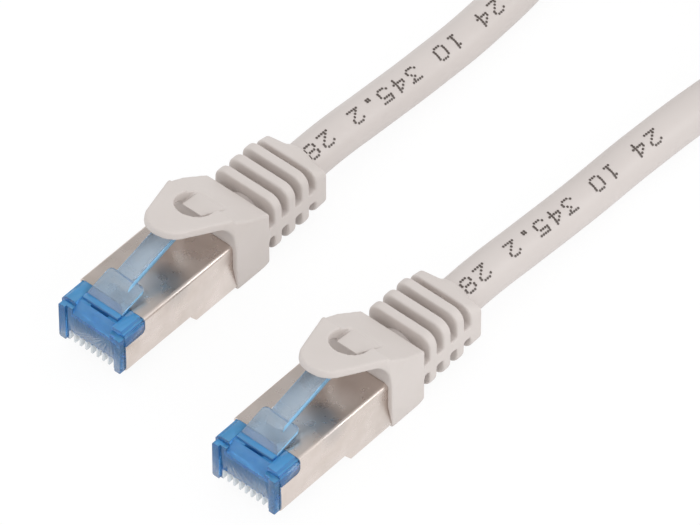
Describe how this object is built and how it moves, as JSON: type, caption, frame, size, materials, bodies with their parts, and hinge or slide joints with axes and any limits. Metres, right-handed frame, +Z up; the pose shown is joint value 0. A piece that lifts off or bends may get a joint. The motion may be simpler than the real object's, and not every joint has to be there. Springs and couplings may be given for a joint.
{
  "type": "ethernet patch cable",
  "caption": "Shielded ethernet patch cable with modular plugs, hooded strain relief boots and a round grey lead folded into a tied hank.",
  "frame": {"origin": "centre of the two plugs' outline, on the surface that they lie on", "axes": "+Z up from the surface, -Y from the boots towards the plugs' noses, +X from the left plug to the right one"},
  "size_m": [0.0616, 0.2048, 0.0172],
  "materials": {
    "nose_plastic": "moulded translucent polycarbonate, deep blue, polished",
    "latch_plastic": "moulded translucent polycarbonate, pale blue",
    "guide_plastic": "clear moulded polycarbonate",
    "contact_gold": "gold plated phosphor bronze",
    "copper": "bare copper wire",
    "wire_orange": "extruded polyethylene insulation",
    "wire_green": "extruded polyethylene insulation",
    "wire_blue": "extruded polyethylene insulation",
    "wire_brown": "extruded polyethylene insulation",
    "pair_foil": "thin aluminium foil",
    "tinned_braid": "tinned copper braid",
    "plated_shield": "stamped brass, nickel plated, satin",
    "lead_jacket": "extruded halogen free jacket, satin light grey",
    "boot_rubber": "moulded thermoplastic elastomer, satin light grey",
    "strap_black": "woven hook and loop strap, black"
  },
  "bodies": {
    "root": {"housing_a": "nose_plastic", "contacts_a": "contact_gold", "wire_guide_a": "guide_plastic", "cores_a": "copper", "pair_orange_a": "wire_orange", "pair_green_a": "wire_green", "pair_blue_a": "wire_blue", "pair_brown_a": "wire_brown", "pair_foils_a": "pair_foil", "braid_a": "tinned_braid", "jacket_end_a": "lead_jacket", "shield_a": "plated_shield", "boot_a": "boot_rubber", "housing_b": "nose_plastic", "contacts_b": "contact_gold", "wire_guide_b": "guide_plastic", "cores_b": "copper", "pair_orange_b": "wire_orange", "pair_green_b": "wire_green", "pair_blue_b": "wire_blue", "pair_brown_b": "wire_brown", "pair_foils_b": "pair_foil", "braid_b": "tinned_braid", "jacket_end_b": "lead_jacket", "shield_b": "plated_shield", "boot_b": "boot_rubber", "lead_a": "lead_jacket", "hank": "lead_jacket", "lead_b": "lead_jacket", "hank_tie": "strap_black"},
    "hood_a": {"hood_a": "boot_rubber"},
    "latch_a": {"latch_a": "latch_plastic"},
    "hood_b": {"hood_b": "boot_rubber"},
    "latch_b": {"latch_b": "latch_plastic"}
  },
  "joints": [
    {"name": "hood_a_press", "type": "hinge", "parent": "root", "child": "hood_a", "pos_m": [-0.0161, 0.00313, 0.0138], "axis": [1, 0, 0], "range_deg": [0, 24], "stiffness_Nm_per_rad": 0.004},
    {"name": "latch_a_press", "type": "hinge", "parent": "root", "child": "latch_a", "pos_m": [-0.0161, -0.01533, 0.00955], "axis": [-1, 0, 0], "range_deg": [0, 11], "stiffness_Nm_per_rad": 0.004},
    {"name": "hood_b_press", "type": "hinge", "parent": "root", "child": "hood_b", "pos_m": [0.0161, -0.00208, 0.0138], "axis": [1, 0, 0], "range_deg": [0, 24], "stiffness_Nm_per_rad": 0.004},
    {"name": "latch_b_press", "type": "hinge", "parent": "root", "child": "latch_b", "pos_m": [0.0161, -0.02053, 0.00955], "axis": [-1, 0, 0], "range_deg": [0, 11], "stiffness_Nm_per_rad": 0.004}
  ],
  "couplings": [
    {"joint": "latch_a_press", "follows": "hood_a_press", "ratio": 0.4583},
    {"joint": "latch_b_press", "follows": "hood_b_press", "ratio": 0.4583}
  ]
}
